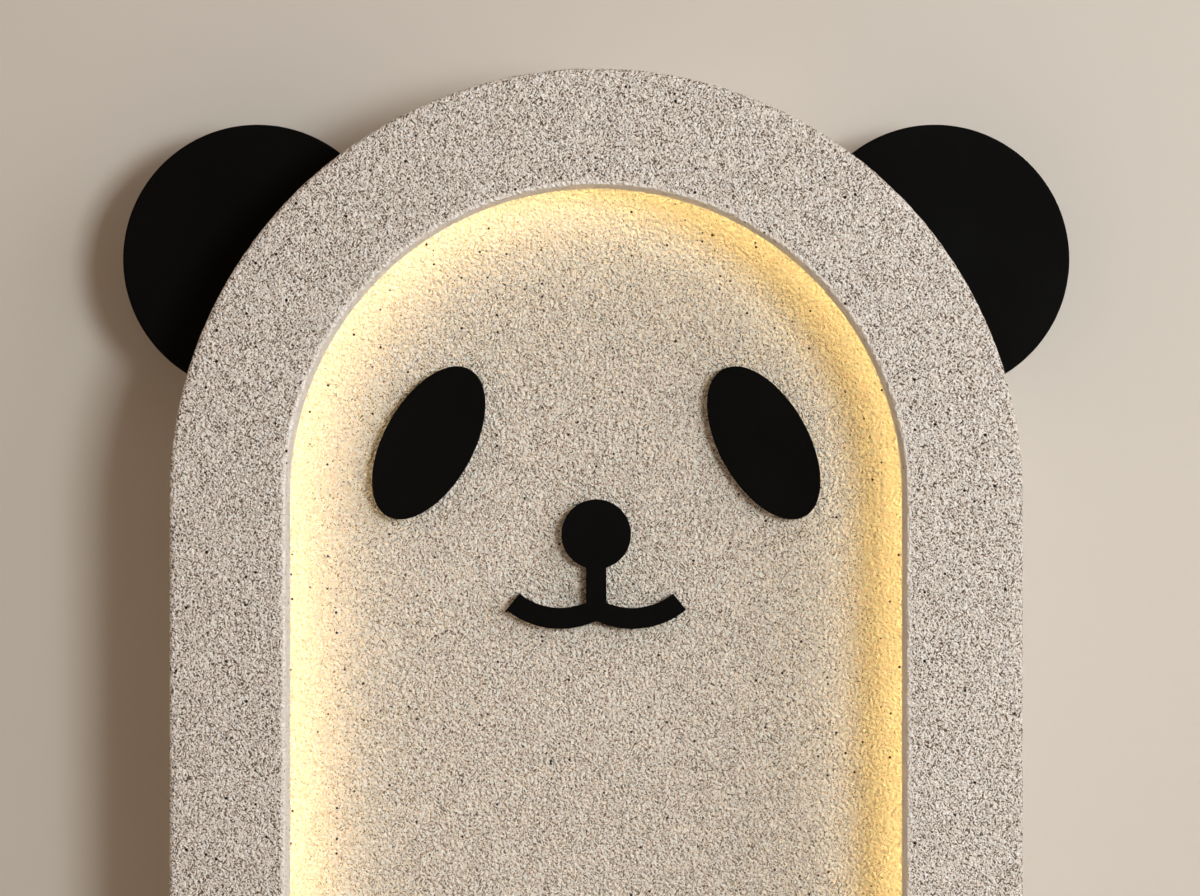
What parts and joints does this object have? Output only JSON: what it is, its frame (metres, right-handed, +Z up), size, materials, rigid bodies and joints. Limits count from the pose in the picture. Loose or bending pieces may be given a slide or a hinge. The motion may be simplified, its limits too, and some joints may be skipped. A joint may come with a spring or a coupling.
{
  "type": "wall lamp",
  "caption": "Arched wall lamp with round ears and a panda's face in a backlit recess, hung on a folded steel bracket.",
  "frame": {"origin": "on the wall, midway between the bracket's two upper screw slots", "axes": "+Z up the wall, +X to the right as seen from the room, +Y into the wall; the lamp faces -Y"},
  "size_m": [0.2734, 0.06, 0.36],
  "materials": {
    "zinc_steel": "zinc-plated folded steel, satin",
    "screw_steel": "zinc-plated screws and nuts",
    "brass_insert": "turned brass, satin",
    "moulded_resin": "glass-filled resin moulding, off-white, matte",
    "stone_coat": "sprayed granular stone-effect coat, light grey-beige with dark pits, matte",
    "pad_rubber": "black rubber, matte",
    "powder_coated_pan": "off-white powder coat, fine texture",
    "panel_aluminium": "mill-finish aluminium",
    "black_plate": "black acrylic sheet, matte",
    "adhesive_foam": "black acrylic foam adhesive",
    "channel_aluminium": "anodised extrusion, satin",
    "led_tape_white": "white solder-masked flexible circuit",
    "led_phosphor": "warm-white phosphor silicone, lit",
    "cap_plastic": "grey polycarbonate, fine-textured",
    "driver_case": "white polycarbonate case, fine-textured",
    "terminal_plastic": "natural polyamide",
    "grommet_rubber": "black rubber, matte",
    "lead_brown": "brown silicone sleeve",
    "lead_blue": "blue silicone sleeve",
    "lead_green": "green silicone sleeve",
    "lead_white": "white silicone sleeve"
  },
  "bodies": {
    "wall_bracket": {"wall_bracket": "zinc_steel"},
    "lamp": {"screw_insert": "brass_insert", "frame_shell": "moulded_resin", "frame_coat": "stone_coat", "wall_pads": "pad_rubber", "frame_screws": "screw_steel", "back_pan": "powder_coated_pan", "face_panel": "panel_aluminium", "panel_coat": "stone_coat", "panel_studs": "screw_steel", "panel_spacers": "panel_aluminium", "panel_nuts": "screw_steel", "left_ear": "black_plate", "right_ear": "black_plate", "ear_screws": "screw_steel", "left_eye": "black_plate", "right_eye": "black_plate", "nose_mouth": "black_plate", "feature_pads": "adhesive_foam", "led_channel": "channel_aluminium", "channel_screws": "screw_steel", "led_tape": "led_tape_white", "led_phosphor": "led_phosphor", "led_end_caps": "cap_plastic", "led_driver": "driver_case", "driver_screws": "screw_steel", "terminal_block": "terminal_plastic", "terminal_screws": "brass_insert", "terminal_fixing_screw": "screw_steel", "cable_grommet": "grommet_rubber", "cable_clamp": "cap_plastic", "clamp_screws": "screw_steel", "earth_stud": "brass_insert", "earth_nut": "brass_insert", "live_lead": "lead_brown", "neutral_lead": "lead_blue", "earth_lead": "lead_green", "led_lead": "lead_white"},
    "retaining_screw": {"retaining_screw": "screw_steel"}
  },
  "joints": [
    {"name": "lamp_lift", "type": "slide", "parent": "wall_bracket", "child": "lamp", "axis": [0, 0, 1], "range_m": [0, 0.0083]},
    {"name": "retaining_screw_travel", "type": "slide", "parent": "lamp", "child": "retaining_screw", "axis": [0, 0, -1], "range_m": [0, 0.014]}
  ]
}
